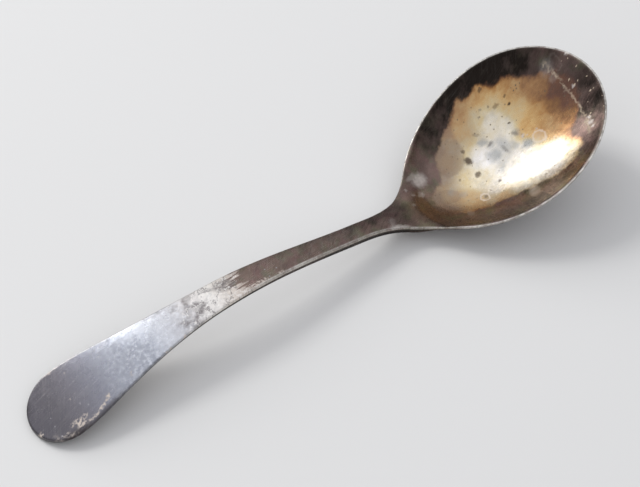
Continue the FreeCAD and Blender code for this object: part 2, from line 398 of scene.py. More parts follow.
# Grey-brown haze over the rubbed patch, and soot in the old film round it: place and share.
BOWL_HAZE = (
    (108.0, 0.5, 0.5), (105.0, 2.0, 0.75), (105.0, -2.6, 0.8), (113.0, 8.5, 0.55), (115.6, 10.6, 0.5),
    (119.0, 12.0, 0.32), (116.0, 12.4, 0.7), (112.4, 10.4, 0.75), (118.0, 6.0, 0.08),
    (112.0, -3.5, 0.3), (120.0, 1.0, 0.0), (126.0, 10.0, 0.05), (130.0, 4.0, 0.0), (127.0, -8.0, 0.0),
    (137.0, 7.5, 0.35), (137.0, -6.0, 0.3), (115.5, 1.0, 0.0), (115.0, -7.0, 0.4), (135.8, -9.0, 0.6),
    (109.0, 6.4, 0.75), (126.0, -14.0, 0.35), (131.0, -14.8, 0.35),
)
HAZE_REACH = 3.0
SOOT_PLACES = (
    (56.0, 0.0, 0.06), (64.0, 0.0, 0.1), (70.0, 0.0, 0.2), (76.0, 0.0, 0.3), (82.0, 1.5, 0.5),
    (82.0, -1.5, 0.34), (88.0, 2.5, 0.7), (89.0, -1.0, 0.4), (95.0, 1.0, 0.52), (94.5, -3.0, 0.42),
    (99.0, 2.4, 0.2), (103.6, 4.2, 0.12), (106.0, 5.4, 0.14), (101.0, -0.5, 0.22),
    (102.6, -4.5, 0.25), (106.0, -4.6, 0.16), (106.0, 9.0, 0.24), (101.5, 6.5, 0.42),
    (108.4, 7.0, 0.12), (107.6, -7.0, 0.08), (112.0, -9.4, 0.12), (117.0, -11.0, 0.1),
    (112.0, 14.5, 0.85), (120.0, 18.6, 1.04), (130.0, 17.0, 1.12), (136.0, 13.0, 1.0),
    (139.0, 10.0, 0.72), (142.0, 3.0, 0.42), (143.6, -3.0, 0.84), (140.6, -3.6, 0.55),
    (140.4, -6.4, 0.8), (141.4, -9.0, 1.0), (137.0, -8.4, 0.45), (138.8, -8.8, 0.85),
    (136.0, -12.6, 0.66), (131.0, -15.4, 0.32), (133.0, -17.0, 0.7), (126.6, -15.0, 0.46),
    (126.0, -17.2, 0.74), (120.0, -16.4, 0.72), (122.0, -18.6, 0.6), (112.0, -12.8, 0.5),
    (106.0, -9.0, 0.28), (121.0, -12.6, 0.3), (113.0, -16.5, 0.62),
)
SOOT_REACH = 3.4
LEAST_WEIGHT = 1e-12
SAMPLE_CORE = 1e-3


def smooth_loop(points):
    """A closed smooth curve through points, as short straight runs."""
    before, start, stop, after = (np.roll(np.array(points), turn, 0)[:, None] for turn in (1, 0, -1, -2))
    t = (np.arange(LOOP_STEPS) / LOOP_STEPS)[None, :, None]
    bend = 2 * before - 5 * start + 4 * stop - after
    twist = 3 * start - before - 3 * stop + after
    curve = start + t / 2 * (stop - before + t * (bend + t * twist))
    return curve.reshape(-1, 2)


def distance_outside(places, edge):
    """Distance in the plan from places to a loop's curve, negative inside it."""
    loop = smooth_loop(edge)
    nearest = np.full(len(places), np.inf)
    inside = np.zeros(len(places), bool)
    for a, b in zip(loop, np.roll(loop, -1, 0)):
        run = b - a
        share = np.clip((places - a) @ run / (run @ run), 0, 1)
        gap = np.hypot(*(places - a - share[:, None] * run).T)
        nearest = np.minimum(nearest, gap)
        crosses = (a[1] > places[:, 1]) != (b[1] > places[:, 1])
        rise = run[1] if abs(run[1]) > LEAST_RISE else LEAST_RISE
        inside ^= crosses & (places[:, 0] < a[0] + run[0] * (places[:, 1] - a[1]) / rise)
    return np.where(inside, -nearest, nearest)


def field(places, samples, reach):
    """A smooth value over the plan that follows samples of (x, y, value), each within its reach."""
    total = np.zeros(len(places))
    weight = np.full(len(places), LEAST_WEIGHT)
    for x, y, value in samples:
        far = np.hypot(places[:, 0] - x, places[:, 1] - y) / reach
        share = 1 / (SAMPLE_CORE + far ** 4)
        total += share * value
        weight += share
    return total / weight


# Bare silver and painted highlight on the rounded corners, in from the edge by its middle, half
# width and softness; round the rim it is partly wear and partly painted highlight. On the stem's
# near edge, painted highlight where the rounded corner catches the light: where it starts and where
# it thins, each with the run that takes. On the held end's far edge, painted highlight: from where
# to where, and the run of its ends.
BARE_GLINT_MIDDLE = 0.12
BARE_GLINT_HALF_WIDTH = 0.14
BARE_GLINT_SOFTNESS = 0.3
STEM_GLINT_FROM = 50.0
STEM_GLINT_RUN = 5.0
STEM_THINS_FROM = 66.0
STEM_THINS_RUN = 8.0
STEM_THINS_BY = 0.35
HELD_GLINT_FROM = 4.0
HELD_GLINT_TO = 34.0
HELD_GLINT_RUN = 6.0
HELD_GLINT_SHARE = 0.5


def corner_wear_and_glint_share(plan, inset):
    """How much of each corner is bare silver and painted highlight: round the rim partly wear and
    partly painted highlight, along the stem's near edge and a little on the held end's far edge
    painted highlight."""
    x, y = plan[:, 0], plan[:, 1]
    rim = land_share(x)
    thinner = 1 - STEM_THINS_BY * step((x - STEM_THINS_FROM) / STEM_THINS_RUN)
    # painted highlight along the stem's near edge and the held end's far edge; round the rim partly wear,
    # partly painted highlight
    near_stem = np.where(y < 0, step((x - STEM_GLINT_FROM) / STEM_GLINT_RUN) * thinner, 0.0)
    held_ends = step((HELD_GLINT_TO - x) / HELD_GLINT_RUN) * step((x - HELD_GLINT_FROM) / HELD_GLINT_RUN)
    held = np.where(y > 0, HELD_GLINT_SHARE * held_ends, 0.0)
    off_corner = np.abs(inset - BARE_GLINT_MIDDLE)
    on_corner = 1 - step((off_corner - BARE_GLINT_HALF_WIDTH) / BARE_GLINT_SOFTNESS)
    return np.maximum(np.maximum(rim, near_stem), held) * on_corner


# What the mesh tells the materials at each point, besides its place in the plan.
SURFACE_FACTS = ("under", "wall", "bare_and_glint", "rubbed", "worn", "film", "haze", "soot")
UNDER_FADE = 0.4
WALL_DEPTH = 0.8
WALL_FADE = 2.0


def surface_facts(plan, inset):
    """How far each point is on the back or on the edge's wall, its tarnish and wear, and the painted
    highlight on its corners.
    """
    places = plan[:, :2]
    return {
        "under": step(-inset / UNDER_FADE),
        "wall": 1 - step((-inset - WALL_DEPTH) / WALL_FADE),
        "bare_and_glint": corner_wear_and_glint_share(plan, inset),
        "rubbed": distance_outside(places, RUBBED_EDGE),
        "worn": distance_outside(places, WORN_EDGE),
        "film": field(places, BOWL_FILM, FILM_REACH),
        "haze": field(places, BOWL_HAZE, HAZE_REACH),
        "soot": field(places, SOOT_PLACES, SOOT_REACH),
    }


# ---------------------------------------------------------------------------------------------
# Materials.

# Settings that every node of a kind has here. A smooth step stays in its range without a clamp.
USUAL_SETTINGS = {
    "MapRange": {"interpolation_type": "SMOOTHSTEP", "clamp": False},
    "Mix": {"data_type": "RGBA"},
}


def linear(code):
    """A colour written as sRGB hex, as the linear values that Blender takes."""
    parts = [int(code[k:k + 2], 16) / 255 for k in (0, 2, 4)]
    return [p / 12.92 if p <= 0.04045 else ((p + 0.055) / 1.055) ** 2.4 for p in parts] + [1.0]


def add(tree, kind, inputs=(), stops=(), **settings):
    """A node with its settings. Its inputs, by name or in the order of its sockets, are numbers,
    hex colours, or nodes whose first output is linked in. Stops of a ramp are (place, hex colour)."""
    node = tree.nodes.new("ShaderNode" + kind)
    for name, value in (USUAL_SETTINGS.get(kind, {}) | settings).items():
        setattr(node, name, value)
    live = [socket for socket in node.inputs if socket.enabled]
    for key, value in inputs.items() if isinstance(inputs, dict) else enumerate(inputs):
        socket = live[key] if isinstance(key, int) else next(s for s in live if s.name == key)
        if isinstance(value, bpy.types.Node):
            value = next(output for output in value.outputs if output.enabled)
        if isinstance(value, bpy.types.NodeSocket):
            tree.links.new(value, socket)
        else:
            socket.default_value = linear(value) if isinstance(value, str) else value
    while stops and len(node.color_ramp.elements) < len(stops):
        node.color_ramp.elements.new(0.5)
    for k, (place, code) in enumerate(stops):
        node.color_ramp.elements[k].position = place
        node.color_ramp.elements[k].color = linear(code)
    return node


def layered(tree, ground, *layers):
    """A colour with films, stains and deposits laid over it in turn, each (share, colour)."""
    for share, colour in layers:
        ground = add(tree, "Mix", (share, ground, colour))
    return ground


def most(tree, *masks):
    """The strongest of several masks at each point."""
    strongest = masks[0]
    for mask in masks[1:]:
        strongest = add(tree, "Math", (strongest, mask), operation="MAXIMUM")
    return strongest


def summed(tree, *terms):
    """Several effects added up."""
    total = terms[0]
    for term in terms[1:]:
        total = add(tree, "Math", (total, term), operation="ADD")
    return total


def product(tree, *terms):
    """Several effects that each hold the others back."""
    total = terms[0]
    for term in terms[1:]:
        total = add(tree, "Math", (total, term), operation="MULTIPLY")
    return total


def clouds(tree, plan, size, low, high, detail=4.0):
    """Cloudy change from low to high; size is the width of one cloud in millimetres."""
    noise = add(tree, "TexNoise", {"Vector": plan, "Scale": 1 / size, "Detail": detail, "Roughness": 0.6})
    return add(tree, "MapRange", (noise, 0.3, 0.7, low, high))


def drawn_out(tree, plan, turn, length, width, detail=2.0):
    """A noise drawn out along one direction of the plan."""
    frame_of_lines = {"Vector": plan, "Rotation": (0, 0, math.radians(turn)), "Scale": (length, width, 1)}
    local = add(tree, "Mapping", frame_of_lines, vector_type="TEXTURE")
    return add(tree, "TexNoise", {"Vector": local, "Scale": 1.0, "Detail": detail, "Roughness": 0.6})


def scratches(tree, plan, turn, length, width, share):
    """Fine lines: only the crests of a drawn-out noise."""
    noise = drawn_out(tree, plan, turn, length, width)
    return add(tree, "MapRange", (noise, 0.64 - 0.1 * share, 0.72 - 0.1 * share))


def streaks(tree, plan, turn, length, width):
    """Soft uneven bands drawn out along one direction."""
    return add(tree, "MapRange", (drawn_out(tree, plan, turn, length, width, 4.0), 0.5, 0.66))


def line_where(tree, value, middle, width, strength=1.0):
    """A line where a value passes through its middle; it fades over the width on each side."""
    off = add(tree, "Math", (value, middle), operation="SUBTRACT")
    gap = add(tree, "Math", (off,), operation="ABSOLUTE")
    return add(tree, "MapRange", (gap, width, 0.0, 0.0, strength))


def creases(tree, plan, size, width):
    """Thin wandering lines, where a cloudy noise passes through its middle value."""
    noise = add(tree, "TexNoise", {"Vector": plan, "Scale": 1 / size, "Detail": 3.0, "Roughness": 0.6})
    return line_where(tree, noise, 0.5, width)


def specks(tree, plan, spacing, radius, kept):
    """Scattered small dots; kept is the share of the places that have one."""
    cells = add(tree, "TexVoronoi", {"Vector": plan, "Scale": 1 / spacing, "Randomness": 1.0})
    reach = radius / spacing
    dots = add(tree, "MapRange", (cells.outputs["Distance"], 1.3 * reach, 0.6 * reach))
    chance = add(tree, "SeparateColor", (cells.outputs["Color"],)).outputs["Red"]
    return product(tree, dots, add(tree, "MapRange", (chance, kept + 0.02, kept - 0.02)))


def shaken(tree, plan, size, amount):
    """Places in the plan moved by a cloudy amount, so that drawn edges look natural."""
    shake = add(tree, "TexNoise", {"Vector": plan, "Scale": 1 / size, "Detail": 3.0, "Roughness": 0.6})
    centred = add(tree, "VectorMath", (shake.outputs["Color"], (0.5, 0.5, 0.5)), operation="SUBTRACT")
    moved = add(tree, "VectorMath", {0: centred, "Scale": amount}, operation="SCALE")
    return add(tree, "VectorMath", (plan, moved), operation="ADD")


OVAL_EDGE = 0.5


def nearness(tree, places, x, y, long, short, turn):
    """How near a place is to an oval's middle: 1 there, a half on its edge, 0 at twice its size."""
    spot = {"Vector": places, "Location": (x, y, 0), "Rotation": (0, 0, math.radians(turn))}
    spot["Scale"] = (2 * long, 2 * short, 2)
    local = add(tree, "Mapping", spot, vector_type="TEXTURE")
    return add(tree, "TexGradient", (local,), gradient_type="SPHERICAL").outputs["Fac"]


def spots(tree, places, ovals, softness):
    """A mask of filled ovals, each (x, y, half length, half width, turn, strength)."""
    mask = 0.0
    low = OVAL_EDGE * (1 - softness)
    high = OVAL_EDGE * (1 + softness)
    for *oval, strength in ovals:
        near = nearness(tree, places, *oval)
        mask = most(tree, mask, add(tree, "MapRange", (near, low, high, 0.0, strength)))
    return mask


def rings(tree, places, ovals, width):
    """A mask of oval outlines, each (x, y, half length, half width, turn, strength)."""
    mask = 0.0
    for *oval, strength in ovals:
        near = nearness(tree, places, *oval)
        mask = most(tree, mask, line_where(tree, near, OVAL_EDGE, OVAL_EDGE * width, strength))
    return mask


def new_material(name):
    """An empty material and its tree."""
    material = bpy.data.materials.new(name)
    material.use_nodes = True
    material.node_tree.nodes.clear()
    return material, material.node_tree


# Film of tarnish on silver by its thickness: bare plate, straw, gold, amber, copper brown, black.
FRESH_FILM = (
    (0.0, "F4EFE8"), (0.14, "EBE0C8"), (0.27, "DBC79C"), (0.4, "D8B27A"), (0.5, "BE8C54"),
    (0.58, "96693C"), (0.66, "7A5038"), (0.76, "553C33"), (0.88, "3A2E2B"), (1.0, "221C1A"),
)
BARE_SILVER = "DAD5CC"
SOOT = "29231F"

# Old film, on the stem and in the bowl, and the oval by the neck where it is still golden.
STEM_FILM = "837065"
OLD_FILM = "867169"
OLD_FILM_FROM = 74.0
OLD_FILM_FULL = 96.0
GOLDEN_NECK = ((101.5, -1.0, 5.5, 4.6, 0.0, 0.5), (98.0, 1.2, 2.0, 1.4, 30.0, 0.45))

# Stains in the bowl. Each oval is (x, y, half length, half width, turn, strength).
VEILS = ((113.6, 8.2, 4.3, 3.5, 35.0, 0.45), (107.6, 0.6, 3.4, 2.1, -20.0, 0.35))
GREY_BLOTS = (
    (121.9, 6.4, 1.3, 0.7, -35.0, 0.6), (122.4, 2.2, 1.7, 1.7, 10.0, 0.7),
    (124.8, 2.4, 1.3, 2.4, 5.0, 0.6), (122.0, -1.3, 1.4, 0.6, 45.0, 0.45),
    (128.6, -1.5, 1.0, 1.2, 0.0, 0.75), (109.2, 1.3, 1.1, 0.9, 20.0, 0.3),
    (111.2, -0.8, 0.9, 0.8, 0.0, 0.3), (128.4, 2.6, 0.7, 1.1, 20.0, 0.5),
    (126.4, 0.8, 0.8, 1.1, 0.0, 0.45), (123.6, 0.2, 2.6, 1.2, 20.0, 0.35),
    (123.0, 4.9, 1.1, 0.8, 0.0, 0.5),
)
STAINS_IN_GREY = (
    (122.9, 5.0, 0.7, 0.35, 10.0, 0.6), (124.6, 1.6, 0.3, 1.3, 5.0, 0.4),
    (128.0, 2.8, 0.4, 0.8, 20.0, 0.5),
)
DARK_SPOTS = (
    (117.0, 5.3, 0.75, 1.05, 20.0, 0.85), (116.8, 1.2, 0.75, 0.7, 0.0, 0.75),
    (117.2, 7.9, 0.5, 0.4, 0.0, 0.6), (112.8, 2.8, 0.35, 0.3, 0.0, 0.5),
    (128.2, 10.4, 0.7, 0.45, -20.0, 0.45), (130.5, 8.6, 0.35, 0.35, 0.0, 0.9),
    (130.6, 10.5, 0.35, 0.25, 0.0, 0.6), (128.4, 5.5, 0.25, 0.25, 0.0, 0.8),
    (119.2, -3.7, 0.3, 0.25, 0.0, 0.7), (125.6, -11.5, 0.25, 0.3, 0.0, 0.6),
    (114.5, -4.8, 0.4, 0.5, 0.0, 0.5), (124.0, 11.2, 0.3, 0.25, 0.0, 0.4),
    (126.8, 11.4, 0.25, 0.25, 0.0, 0.5), (121.6, 8.8, 0.9, 0.35, -40.0, 0.3),
    (125.0, 12.2, 0.4, 0.2, 0.0, 0.35), (130.6, 14.0, 0.7, 0.3, -30.0, 0.5),
    (126.8, 15.2, 0.5, 0.3, 0.0, 0.6),
)
# Pale dried blots, and by the neck a painted highlight on the near edge.
PALE_BLOTS_AND_GLINTS = (
    (103.9, 7.0, 1.9, 1.4, 10.0, 1.0), (102.4, 8.1, 1.4, 0.5, 20.0, 0.6),
    (102.2, 3.7, 0.9, 0.6, 20.0, 0.6), (100.2, 4.1, 0.45, 0.35, 0.0, 0.45),
    (98.4, 1.4, 0.5, 0.4, 0.0, 0.35), (99.2, 5.7, 0.3, 0.3, 0.0, 0.4),
    (121.1, -13.2, 0.9, 1.6, -30.0, 0.5), (139.5, 7.4, 1.2, 1.6, 0.0, 0.3),
    (139.4, 4.9, 0.7, 0.9, 0.0, 0.25), (128.8, 0.8, 0.4, 0.4, 0.0, 0.95),
    (108.5, -6.8, 0.7, 0.9, -20.0, 0.3), (130.9, -2.4, 0.9, 1.3, 10.0, 0.25),
    (143.6, 5.9, 0.5, 0.4, 0.0, 0.85), (140.9, -0.5, 0.35, 0.4, 0.0, 0.8),
    (129.6, 0.2, 0.2, 0.2, 0.0, 0.7), (137.6, -10.6, 0.4, 0.6, 0.0, 0.6),
    (138.3, -9.3, 0.3, 0.5, 0.0, 0.55), (137.1, -11.9, 0.4, 0.3, 0.0, 0.6),
    (129.4, -4.6, 0.6, 0.5, 0.0, 0.4), (131.6, -0.4, 0.25, 0.25, 0.0, 0.5),
    # painted highlight: a pale wedge and a bright streak on the near edge by the neck
    (90.4, -1.2, 1.2, 0.8, 60.0, 0.25), (91.3, -2.75, 2.1, 0.4, -16.0, 0.65),
)
WATER_RINGS = (
    (130.9, -2.4, 1.15, 1.6, 10.0, 0.6), (114.2, -4.8, 0.95, 1.1, 0.0, 0.75),
    (130.9, -8.8, 0.55, 0.75, 0.0, 0.5), (121.1, -13.2, 1.0, 1.8, -30.0, 0.12),
    (132.6, -6.0, 0.3, 0.6, 10.0, 0.4), (141.2, 6.6, 0.8, 1.9, 0.0, 0.07),
)

# A crescent of dried residue inside the bowl's tip: the oval that it follows, by its middle and
# its half length and half width.
CRESCENT = (126.0, 3.0, 14.2, 22.0)

# Colours of the handle's upper face by distance from its end, as a share of the handle's run:
# grey tarnish at the held end and pale wear over the arch, with a painted bluish sheen of the
# window where the face rises to the arch.
HANDLE_RUN = 96.0
HELD_END_AND_SHEEN = (
    (0.0, "5F5C61"), (0.06, "676468"), (0.1, "747176"), (0.16, "888890"), (0.2, "9A9CA4"),
    (0.27, "A3A6AE"),
)
WORN_ARCH_AND_SHEEN = (
    (0.25, "CBCFD8"), (0.32, "C6C8CD"), (0.37, "C6C5C7"), (0.41, "DAD5D1"), (0.46, "F3EEE6"),
    (0.5, "E8DED2"), (0.54, "C9BBAF"), (0.62, "A8988C"),
)

# Stains on the worn arch, painted shade along the handle's edges, and places where the film has
# flaked off, with painted highlight on the stem's near edge.
ARCH_STAINS = (
    (47.6, 1.2, 2.0, 1.5, 10.0, 0.8), (37.6, -2.8, 2.6, 0.9, -30.0, 0.65),
    (40.5, -1.6, 2.4, 0.8, 35.0, 0.75), (36.2, 2.6, 1.4, 0.9, -20.0, 0.45),
    (40.0, 2.9, 1.7, 0.8, 0.0, 0.6), (32.0, 4.6, 2.8, 0.9, -8.0, 0.35),
    (44.6, 1.8, 1.8, 0.35, -20.0, 0.6), (49.0, 0.4, 1.6, 0.9, 0.0, 0.6),
    (38.6, 0.6, 0.7, 2.2, -15.0, 0.6), (40.4, 0.2, 1.2, 0.8, 20.0, 0.6),
)
# painted shade: dark bands along the near edge by the end, and one on the round end's far edge
EDGE_SHADE = (
    (7.0, -8.2, 5.0, 1.3, -4.0, 0.75), (15.0, -7.6, 6.0, 0.8, 8.0, 0.6),
    (25.0, -6.1, 6.0, 0.5, 10.0, 0.4), (1.4, 4.6, 0.8, 2.4, -20.0, 0.35),
)
EDGE_NICKS_AND_GLINTS = (
    (8.8, -6.4, 1.1, 0.9, 20.0, 1.0), (7.5, -5.5, 1.0, 0.4, 10.0, 0.9),
    (10.2, -5.6, 0.5, 0.5, 0.0, 0.8), (5.6, -6.9, 1.6, 0.5, -25.0, 0.45),
    (3.4, -6.1, 0.5, 1.1, 30.0, 0.3), (11.5, -7.1, 1.5, 0.3, 5.0, 0.9),
    (14.0, -6.3, 1.7, 0.34, 24.0, 0.9), (15.9, -5.4, 0.4, 0.7, -20.0, 0.9),
    (0.9, -2.9, 0.4, 0.6, 0.0, 0.9), (8.4, 8.0, 0.9, 0.3, 0.0, 0.4),
    (11.2, 5.5, 0.2, 0.2, 0.0, 0.4), (9.4, -0.4, 0.2, 0.25, 0.0, 0.5),
    (30.5, -5.0, 0.9, 0.3, 10.0, 0.8),
    (35.3, -4.3, 0.7, 0.3, 40.0, 0.7), (22.2, -4.4, 0.5, 0.3, 60.0, 0.6),
    # painted highlight: the stem's rounded near edge catching the light
    (55.0, -2.4, 2.6, 0.35, 2.0, 0.7), (60.4, -2.3, 0.7, 0.3, 3.0, 0.8),
)

BOWL_DULLNESS = 0.26
HANDLE_DULLNESS = 0.28
ARCH_DULLNESS = 0.36
DEPOSIT_METAL = 0.3
DEPOSIT_DULLNESS = 0.4
SURFACE_RELIEF = 0.03


def crescent_mask(tree, places):
    """Crusty line and specks of dried residue that a spoonful left round the inside of the tip."""
    near = nearness(tree, places, *CRESCENT, 0.0)
    crusty = clouds(tree, places, 1.2, 0.1, 1.0)
    line = product(tree, line_where(tree, near, OVAL_EDGE, 0.014, 0.75), crusty)
    beyond = add(tree, "MapRange", (near, 0.51, 0.475))
    short_of_rim = add(tree, "MapRange", (near, 0.32, 0.4))
    grains = product(tree, specks(tree, places, 1.1, 0.17, 0.6), beyond, short_of_rim)
    place = add(tree, "SeparateXYZ", (places,))
    in_tip = add(tree, "MapRange", (place.outputs["X"], 132.0, 137.0))
    below_hook = add(tree, "MapRange", (place.outputs["Y"], 9.4, 8.0))
    above_foot = add(tree, "MapRange", (place.outputs["Y"], -13.6, -11.4))
    return product(tree, most(tree, line, grains), in_tip, below_hook, above_foot)


def old_film(tree, plan, soot):
    """Old tarnish: brown with greenish and reddish patches, streaked by wiping, blackened by soot."""
    along = add(tree, "SeparateXYZ", (plan,)).outputs["X"]
    brown = layered(
        tree,
        STEM_FILM,
        (add(tree, "MapRange", (along, OLD_FILM_FROM, OLD_FILM_FULL)), OLD_FILM),
        (clouds(tree, plan, 3.6, -0.7, 1.1, 3.0), "7B7462"),
        (clouds(tree, plan, 4.9, -0.7, 1.0, 3.0), "856B65"),
        (spots(tree, plan, GOLDEN_NECK, 0.8), "8E7450"),
    )
    less_in_bowl = add(tree, "MapRange", (along, 90.0, 100.0, 0.2, 0.05))
    wiped = product(tree, streaks(tree, plan, 38.0, 5.0, 0.5), less_in_bowl)
    mottled = clouds(tree, plan, 3.0, -0.2, 0.14, 6.0)
    return layered(tree, brown, (summed(tree, soot, wiped, mottled), SOOT))


def underside_film(tree, plan, wall):
    """The back and the edges: a brown tarnish, cloudy, with painted shade darkening the wall of the
    edge, and thinner where hands rubbed it."""
    # painted shade: the wall of the edge darkened towards black
    shaded_wall = product(tree, wall, 0.55)
    broad = clouds(tree, plan, 9.0, 0.15, 0.7, 6.0)
    fine = clouds(tree, plan, 1.5, -0.08, 0.08, 8.0)
    rubbed = summed(tree, clouds(tree, plan, 14.0, -0.4, 0.5, 5.0), product(tree, shaded_wall, -1.0))
    return layered(tree, STEM_FILM, (summed(tree, broad, fine, shaded_wall), SOOT), (rubbed, "A39A90"))


def worn_plate(name, surface_of, scratched):
    """Tarnished silver plate: a metal whose colour is the plate's film, with painted highlight on its
    corners and painted shade on its edges' walls, and whose sheen is its wear; dried deposits on it
    are dull and not metal."""
    material, tree = new_material(name)
    plan = add(tree, "Attribute", attribute_name="plan").outputs["Vector"]
    known = {fact: add(tree, "Attribute", attribute_name=fact).outputs["Fac"] for fact in SURFACE_FACTS}
    upper, dullness, deposit = surface_of(tree, plan, known)
    lines = scratches(tree, plan, 12.0, 9.0, 0.07, 0.5)
    crossing = scratches(tree, plan, 63.0, 6.0, 0.06, 0.4)
    marks = most(tree, lines, crossing)
    colour = layered(
        tree,
        upper,
        (known["under"], underside_film(tree, plan, known["wall"])),
        # bare silver on the corners: partly wear, partly painted highlight
        (product(tree, known["bare_and_glint"], clouds(tree, plan, 1.5, 0.3, 1.0)), BARE_SILVER),
        (product(tree, marks, scratched), BARE_SILVER),
    )
    relief = summed(tree, product(tree, marks, -0.12), clouds(tree, plan, 5.0, 0.0, 1.0, 2.0))
    normal = add(tree, "Bump", {"Height": relief, "Distance": SURFACE_RELIEF * MM, "Strength": 1.0})
    rougher_marks = product(tree, marks, 0.06)
    crusty = product(tree, deposit, DEPOSIT_DULLNESS)
    roughness = summed(tree, dullness, rougher_marks, clouds(tree, plan, 2.0, -0.03, 0.03), crusty)
    metal = add(tree, "MapRange", (deposit, 0.0, 1.0, 1.0, DEPOSIT_METAL))
    finish = {"Base Color": colour, "Metallic": metal, "Roughness": roughness, "Normal": normal}
    add(tree, "OutputMaterial", {"Surface": add(tree, "BsdfPrincipled", finish)})
    return material


def bowl_surface(tree, plan, known):
    """The bowl's colours: the rubbed patch, pale to gold; brown to black round it; spots and rings."""
    places = shaken(tree, plan, 1.6, 1.6)
    torn = shaken(tree, plan, 0.7, 1.1)
    gap = summed(tree, known["rubbed"], clouds(tree, plan, 2.6, -0.4, 0.4, 3.0))
    uneven = summed(tree, clouds(tree, plan, 1.2, -0.03, 0.03, 8.0), clouds(tree, plan, 5.0, -0.03, 0.03))
    film = summed(tree, known["film"], uneven)
    clear = add(tree, "Math", (1.0, known["haze"]), operation="SUBTRACT")
    fringe = product(tree, add(tree, "MapRange", (gap, -0.9, 1.2, 0.0, 0.3)), clear)
    palest = add(tree, "MapRange", (film, 0.42, 0.2))
    patch = layered(
        tree,
        add(tree, "ValToRGB", (summed(tree, film, fringe),), stops=FRESH_FILM),
        (known["haze"], OLD_FILM),
        (product(tree, clouds(tree, plan, 2.2, -0.3, 0.34, 6.0), palest), "B9B4AA"),
        (specks(tree, plan, 0.9, 0.15, 0.35), "7A6B58"),
        (spots(tree, places, VEILS, 0.1), "8C7868"),
    )
    # pale dried blots, and a painted highlight by the neck
    pale_blots_and_glints = product(tree, spots(tree, torn, PALE_BLOTS_AND_GLINTS, 0.6), clouds(tree, plan, 0.8, 0.55, 1.05, 3.0))
    dried = rings(tree, torn, WATER_RINGS, 0.28)
    crust = crescent_mask(tree, places)
    colour = layered(
        tree,
        patch,
        (add(tree, "MapRange", (gap, -0.3, 0.7)), old_film(tree, plan, known["soot"])),
        (spots(tree, places, GREY_BLOTS, 0.7), "979A99"),
        (spots(tree, torn, STAINS_IN_GREY, 0.6), "6A625C"),
        (spots(tree, torn, DARK_SPOTS, 0.5), "47382E"),
        (pale_blots_and_glints, "C9C0B8"),
        (dried, "DDCFC0"),
        (crust, "C4B29A"),
    )
    return colour, BOWL_DULLNESS, most(tree, product(tree, pale_blots_and_glints, 0.5), dried, crust)


def handle_surface(tree, plan, known):
    """The handle's colours: grey where it is held, rubbed pale over its arch with a painted bluish
    sheen where it rises, brown to the bowl.
    """
    places = shaken(tree, plan, 1.6, 1.6)
    torn = shaken(tree, plan, 0.7, 1.1)
    along = add(tree, "SeparateXYZ", (places,)).outputs["X"]
    share = add(tree, "Math", (along, HANDLE_RUN), operation="DIVIDE")
    fibres = add(tree, "MapRange", (drawn_out(tree, plan, 4.0, 6.0, 0.4, 3.0), 0.3, 0.7, -1.6, 2.2))
    ragged = product(tree, fibres, add(tree, "MapRange", (along, 40.0, 50.0)))
    gap = summed(tree, known["worn"], clouds(tree, plan, 2.6, -0.8, 0.8, 6.0), ragged)
    softness = add(tree, "MapRange", (along, 36.0, 48.0, 2.4, 0.5))
    reach = add(tree, "Math", (gap, softness), operation="DIVIDE")
    worn = add(tree, "MapRange", (reach, 1.0, -1.0))
    arch = product(tree, add(tree, "MapRange", (along, 34.0, 38.0)), worn)
    both_ways = most(tree, streaks(tree, plan, 40.0, 4.0, 1.1), streaks(tree, plan, -25.0, 6.0, 0.8))
    stained = product(tree, spots(tree, torn, ARCH_STAINS, 0.45), clouds(tree, plan, 1.1, 0.35, 1.25, 6.0))
    past_middle = add(tree, "MapRange", (along, 38.0, 42.0))
    # flaked film, and painted highlight on the stem's near edge
    flaked_and_glints = product(tree, spots(tree, torn, EDGE_NICKS_AND_GLINTS, 0.5), clouds(tree, plan, 0.6, -0.5, 1.6, 3.0))
    past_end = add(tree, "MapRange", (along, 14.0, 27.0))
    before_arch = add(tree, "MapRange", (along, 42.0, 36.0))
    colour = layered(
        tree,
        # tarnish by the held end, with a painted bluish sheen towards the arch
        add(tree, "ValToRGB", (share,), stops=HELD_END_AND_SHEEN),
        (add(tree, "MapRange", (along, 40.0, 44.0)), old_film(tree, plan, known["soot"])),
        # pale wear over the arch, with a painted bluish sheen where it rises
        (worn, add(tree, "ValToRGB", (share,), stops=WORN_ARCH_AND_SHEEN)),
        (product(tree, both_ways, arch, 0.26), "7F7C7C"),
        (stained, "706968"),
        (product(tree, creases(tree, torn, 4.2, 0.022), past_middle, worn, 0.75), "6B6463"),
        # painted shade along the handle's edges
        (spots(tree, torn, EDGE_SHADE, 0.6), "3A3433"),
        (product(tree, creases(tree, plan, 3.2, 0.02), arch, 0.8), "F7F3EC"),
        (flaked_and_glints, "D3C6B9"),
        # painted sheen: pale bluish clouds of the window's glow between the held end and the arch
        (product(tree, clouds(tree, plan, 0.9, -0.35, 0.5, 8.0), past_end, before_arch), "E4E6EA"),
        (specks(tree, plan, 1.3, 0.14, 0.3), "B4B2B4"),
        (clouds(tree, plan, 1.3, 0.0, 0.16, 8.0), "5B5A5E"),
    )
    return colour, add(tree, "MapRange", (arch, 0.0, 1.0, HANDLE_DULLNESS, ARCH_DULLNESS)), flaked_and_glints


def tarnished_bowl_plate():
    """Silver plate on the bowl, struck, buffed and long used: the eye sees a soft mirror that fades
    from pale rubbed silver through straw and gold sulphide to dull brown and black."""
    return worn_plate("tarnished_silver_plate_bowl", bowl_surface, 0.05)


def tarnished_handle_plate():
    """Silver plate on the handle, struck, buffed and handled: the eye sees dull grey at the end,
    a pale scratched arch with a painted bluish sheen where it rises, and a brown stem, all with a
    soft sheen."""
    return worn_plate("tarnished_silver_plate_handle", handle_surface, 0.2)


# ---------------------------------------------------------------------------------------------
# The two pieces.


